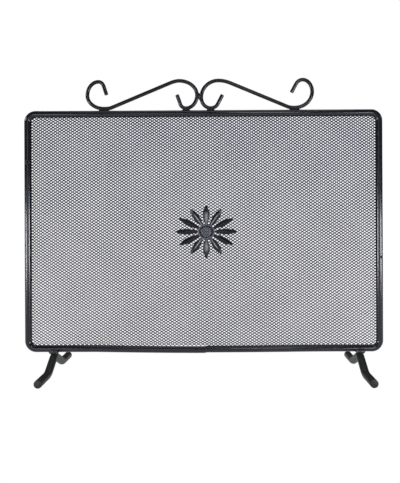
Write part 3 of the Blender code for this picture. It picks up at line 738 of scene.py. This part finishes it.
flower_low, flower_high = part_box("rosette_petals")
PETALS = 12
PETAL_TIP = (flower_high.z - flower_low.z) / 2
FLOWER_STRETCH = (flower_high.x - flower_low.x) / (flower_high.z - flower_low.z)
FLOWER_BACK = flower_high.y
SHEET_GAUGE = 0.0010
HUB_RADIUS = 0.0125
PETAL_START = 0.0105
PETAL_ROOT = 0.0014           # half width of a petal at the hub
PETAL_SWELL = 0.0039          # and what the swelling adds to it
PETAL_WIDEST = 1.25           # power that moves the widest place towards the tip
PETAL_FULLNESS = 0.85         # power that makes the outline fuller than a sine
PETAL_NUB = 0.0008            # half width of the nub at the tip
NUB_PLACE, NUB_REACH = 0.965, 0.022       # shares of the petal's length
PETAL_LEAST = 0.00012
PETAL_CREST = 0.0029          # height of the fold
CREST_FULLNESS, FOLD_SHARPNESS = 0.7, 1.15
EDGE_LEVEL = 0.16             # height of a petal's edges, over its crest's
EDGE_RIM = 0.176              # and of the low rim along them
RIM_PLACE, RIM_REACH = 0.90, 0.10         # shares of the petal's half width


def petal_half_width(along):
    """From a narrow root the petal swells as a power of a sine, widest past the middle, and ends in
    a small round nub just before the tip."""
    swell = np.sin(np.pi * np.clip(along, 0, 1) ** PETAL_WIDEST) ** PETAL_FULLNESS
    nub = PETAL_NUB * np.exp(-((along - NUB_PLACE) / NUB_REACH) ** 2)
    return PETAL_ROOT * (1 - along) ** 0.5 + PETAL_SWELL * swell + nub


def petal_front(along, across):
    """Height of a petal's face towards the front: a crest along the middle that rises and falls as
    a sine, pinched sharp, and a low rim along both edges."""
    crest = PETAL_CREST * np.sin(np.pi * np.clip(along * 0.93 + 0.05, 0, 1)) ** CREST_FULLNESS
    fold = (1 - np.abs(across)) ** FOLD_SHARPNESS
    rim = EDGE_RIM * np.exp(-((np.abs(across) - RIM_PLACE) / RIM_REACH) ** 2)
    return crest * (EDGE_LEVEL + (1 - EDGE_LEVEL) * fold + rim)


# Painted highlights down the crests of the upright, the steep and the level petals, strongest on the
# steep ones:
# the least sine of the petal's turn, the strength of the line down its crest, and the line's half
# width as a share of the petal's.
CREST_HIGHLIGHTS = ((0.95, 0.50, 0.42), (0.75, 1.00, 0.17), (0.00, 0.20, 0.17))
HIGHLIGHT_FROM, HIGHLIGHT_TO, HIGHLIGHT_FADE = 0.10, 0.66, 0.04
PALE_RIM, PALE_RIM_PLACE, PALE_RIM_REACH = 0.22, 0.93, 0.08


def highlight_and_rub_share(along, across, turn):
    """Where the petal is painted pale grey: a bell-shaped painted highlight down the crest, which
    sets in evenly at the hub and fades as a logistic step before the tip, and a paler bell along
    both edges."""
    steep = abs(math.sin(turn))
    strength, breadth = next(line[1:] for line in CREST_HIGHLIGHTS if steep >= line[0])
    reach = np.clip(along / HIGHLIGHT_FROM, 0, 1) / (1 + np.exp((along - HIGHLIGHT_TO) / HIGHLIGHT_FADE))
    rim = PALE_RIM * np.exp(-((np.abs(across) - PALE_RIM_PLACE) / PALE_RIM_REACH) ** 2)
    return strength * reach * np.exp(-(across / breadth) ** 2) + rim


def one_petal(turn, rows=34, columns=25):
    """A closed shell for one petal: a front grid and the same grid one gauge behind it, joined all
    round, then turned to its place in the flower."""
    s, v = np.meshgrid(np.linspace(0, 1, rows), np.linspace(-1, 1, columns), indexing="ij")
    radius = PETAL_START + (PETAL_TIP - PETAL_START) * s
    sideways = v * np.maximum(petal_half_width(s), PETAL_LEAST)
    x = (radius * math.cos(turn) - sideways * math.sin(turn)) * FLOWER_STRETCH
    z = radius * math.sin(turn) + sideways * math.cos(turn)
    front = FLOWER_BACK - SHEET_GAUGE - petal_front(s, v)
    back = front + SHEET_GAUGE
    grid = np.concatenate([np.stack([x, front, z], -1), np.stack([x, back, z], -1)])
    count = rows * columns
    faces = quads_between(rows, columns, wrap=False)
    rim = np.concatenate([np.arange(columns), np.arange(1, rows) * columns + columns - 1,
                          count - 2 - np.arange(columns - 1), np.arange(rows - 2, 0, -1) * columns])
    after = np.roll(rim, -1)
    walls = np.stack([after, rim, rim + count, after + count], axis=1)
    rib = np.concatenate([highlight_and_rub_share(s, v, turn).ravel()] * 2)
    return grid.reshape(-1, 3), np.vstack([faces, faces[:, ::-1] + count, walls]), rib


# Black enamel on a pressing: near black in the folds, and a pale steel grey in painted highlights
# down the petals' crests, along their paler edges and where the paint is rubbed back on the hub's
# ring and the rivet's pips, broken up by scratches about 1.5 mm apart.
flower_enamel, tree = new_material("black_enamel_painted_highlights_and_rubbed_on_pressed_steel")
place = add_node(tree, "ShaderNodeTexCoord").outputs["Object"]
# The attribute carries painted highlights on the petals and rubbed paint on the hub and the rivet.
highlights_and_rubbing = add_node(tree, "ShaderNodeAttribute", {"attribute_name": "rib"})
scratch = add_node(tree, "ShaderNodeTexNoise", {"Scale": 600.0, "Detail": 3.0}, {"Vector": place})
highlight_and_wear = add_node(tree, "ShaderNodeMath", {"operation": "MULTIPLY"},
                {0: highlights_and_rubbing.outputs["Fac"], 1: scratch.outputs["Fac"]})
tone = add_node(tree, "ShaderNodeValToRGB", links={"Fac": highlight_and_wear.outputs["Value"]})
tone.color_ramp.elements[0].position, tone.color_ramp.elements[1].position = 0.06, 0.60
tone.color_ramp.elements[0].color = linear("#0b0c13")
tone.color_ramp.elements[1].color = linear("#9ea1ae")
relief = add_node(tree, "ShaderNodeBump", {"Strength": 0.4, "Distance": 0.0003},
                  {"Height": scratch.outputs["Fac"]})
enamel = add_node(tree, "ShaderNodeBsdfPrincipled", {"Specular IOR Level": 0.28, "Roughness": 0.34},
                  {"Base Color": tone.outputs["Color"], "Normal": relief.outputs["Normal"]})
add_node(tree, "ShaderNodeOutputMaterial", links={"Surface": enamel.outputs["BSDF"]})


def store_rib(piece, values):
    """Keep one number per vertex, 1 on a crest and 0 in a fold, for the painted highlights and the
    rubbed paint.
    """
    attribute = piece.data.attributes.new("rib", "FLOAT", "POINT")
    attribute.data.foreach_set("value", np.asarray(values, dtype=np.float32))


shells = [one_petal(2 * math.pi * k / PETALS + math.pi / 2) for k in range(PETALS)]
offset = np.array([RIVET_X, 0, RIVET_Z])
points = np.vstack([shell[0] for shell in shells]) + offset
faces = np.vstack([shell[1] + k * len(shells[0][0]) for k, shell in enumerate(shells)])
petals = add_piece("daisy_petals", points, faces.tolist(), flower_enamel, sharp=50)
store_rib(petals, np.concatenate([shell[2] for shell in shells]))
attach(petals, "root")
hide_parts("rosette_petals")


def turned_disc(profile, sides, centre, stretch):
    """A profile of (radius, y) points carried round the Y axis, widened along X, and joined from
    its last point to its first."""
    profile = np.array(profile, dtype=float)
    angle = np.linspace(0, 2 * math.pi, sides, endpoint=False)
    x = profile[:, :1] * np.cos(angle) * stretch
    z = profile[:, :1] * np.sin(angle)
    y = np.broadcast_to(profile[:, 1:2], x.shape)
    points = np.stack([x, y, z], axis=-1).reshape(-1, 3) + np.array(centre)
    faces = np.vstack([quads_between(len(profile), sides), last_to_first(len(profile), sides)])
    return points, faces.tolist()


# The hub of the pressing: a flat web with a rounded ring raised round its edge.
HUB_SIDES = 96
HUB_BORE = 0.0029
WEB_WEAR, RING_WEAR = 0.20, 0.22          # rubbed share of the web, and what the ring adds
RING_RISE = 0.0016
RING_INSIDE = 0.0101
ring_centre = (HUB_RADIUS + RING_INSIDE) / 2
ring_half = (HUB_RADIUS - RING_INSIDE) / 2
arc = np.linspace(math.pi, 0, 12)
ring = np.column_stack([ring_centre + ring_half * np.cos(arc),
                        FLOWER_BACK - SHEET_GAUGE - RING_RISE * np.sin(arc)])
hub_profile = np.vstack([(HUB_BORE, FLOWER_BACK), (HUB_BORE, FLOWER_BACK - SHEET_GAUGE), ring,
                         (HUB_RADIUS, FLOWER_BACK)])
points, faces = turned_disc(hub_profile, HUB_SIDES, offset, FLOWER_STRETCH)
hub = add_piece("daisy_hub", points, faces, flower_enamel, sharp=50)
store_rib(hub, np.repeat([0, WEB_WEAR, *(WEB_WEAR + RING_WEAR * np.sin(arc)), 0], HUB_SIDES))
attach(hub, "root")
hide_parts("rosette_petals")

# The rivet: a domed head covered in small pips like a daisy's middle, a plain shank through the
# mesh, and a tail hammered down over the washer.
boss_low, boss_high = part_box("rosette_boss")
BOSS_RADIUS = (boss_high.z - boss_low.z) / 2
BOSS_HEIGHT = 0.0055
BOSS_SEAT = boss_low.y + BOSS_HEIGHT
BOSS_SIDES = 112
DOME_RINGS = 39
DOME_HEIGHT, DOME_FOOT = 0.0042, 0.0002
PIPS = 42
PIP_FIELD = 0.92              # radius of the pips' field, over the boss's
PIP_HEIGHT, PIP_RADIUS = 0.00060, 0.00078
DOME_WEAR, PIP_WEAR = 0.10, 0.62
RIVET_RADIUS = 0.0025
TAIL_HEIGHT = 0.0016
# The hammered tail: radius over the shank's, and height over the washer as a share of the tail's
TAIL_SHAPE = ((1.7, 0.0), (1.6, 0.4375), (1.1, 0.8125), (0.4, 1.0))


def pip_height(x, z):
    """Sum of rounded pips on a sunflower spiral: pip k stands at the golden angle times k, at the
    field's radius times the root of its share."""
    k = np.arange(PIPS) + 0.5
    reach = BOSS_RADIUS * PIP_FIELD * np.sqrt(k / PIPS)
    turn = k * math.pi * (3 - math.sqrt(5))
    away = (x[..., None] - reach * np.cos(turn)) ** 2 + (z[..., None] - reach * np.sin(turn)) ** 2
    return PIP_HEIGHT * np.exp(-away / PIP_RADIUS ** 2).sum(axis=-1)


share = np.sqrt(np.linspace(0.0, 1.0, DOME_RINGS + 1)[1:])[:, None]
angle = np.linspace(0, 2 * math.pi, BOSS_SIDES, endpoint=False)
x = BOSS_RADIUS * share * np.cos(angle)
z = BOSS_RADIUS * share * np.sin(angle)
pips = pip_height(x, z)
y = BOSS_SEAT - DOME_FOOT - DOME_HEIGHT * (1 - share ** 4) ** 0.5 - pips * (1 - share ** 8)
head = np.stack([x, y, z], axis=-1).reshape(-1, 3)
tail_y = boss_high.y - TAIL_HEIGHT
tail = [(BOSS_RADIUS, BOSS_SEAT), (RIVET_RADIUS, BOSS_SEAT), (RIVET_RADIUS, tail_y)]
tail += [(RIVET_RADIUS * wide, tail_y + TAIL_HEIGHT * high) for wide, high in TAIL_SHAPE]
shank_and_tail = turned_disc(tail, BOSS_SIDES, (0, 0, 0), 1.0)[0]
points = np.vstack([head, shank_and_tail, [[0, y[0].min(), 0], [0, boss_high.y, 0]]]) + offset
faces = quads_between(DOME_RINGS + len(tail), BOSS_SIDES).tolist()
front, back = len(points) - 2, len(points) - 1
last = front - BOSS_SIDES
for j in range(BOSS_SIDES):
    k = (j + 1) % BOSS_SIDES
    faces += [[front, k, j], [back, last + j, last + k]]
rivet = add_piece("daisy_middle_rivet", points, faces, flower_enamel, sharp=60)
raised = DOME_WEAR + PIP_WEAR * np.clip(pips / PIP_HEIGHT, 0, 1).ravel()
store_rib(rivet, np.concatenate([raised, np.zeros(len(points) - len(raised))]))
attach(rivet, "root")
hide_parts("rosette_boss")

# The washer behind the mesh: a plain stamped disc with softened edges.
washer_low, washer_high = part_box("rosette_washer")
WASHER_SIDES = 64
WASHER_ROOM = 0.0003          # between the shank and the washer
outer, bore = (washer_high.z - washer_low.z) / 2, RIVET_RADIUS + WASHER_ROOM
near, far, ease = washer_low.y, washer_high.y, 0.0002
washer_profile = [(bore, near + ease), (bore + ease, near), (outer - ease, near),
                  (outer, near + ease), (outer, far - ease), (outer - ease, far),
                  (bore + ease, far), (bore, far - ease)]
points, faces = turned_disc(washer_profile, WASHER_SIDES, offset, 1.0)
washer = add_piece("rivet_washer", points, faces, flower_enamel)
store_rib(washer, np.zeros(len(points)))
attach(washer, "root")
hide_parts("rosette_washer")
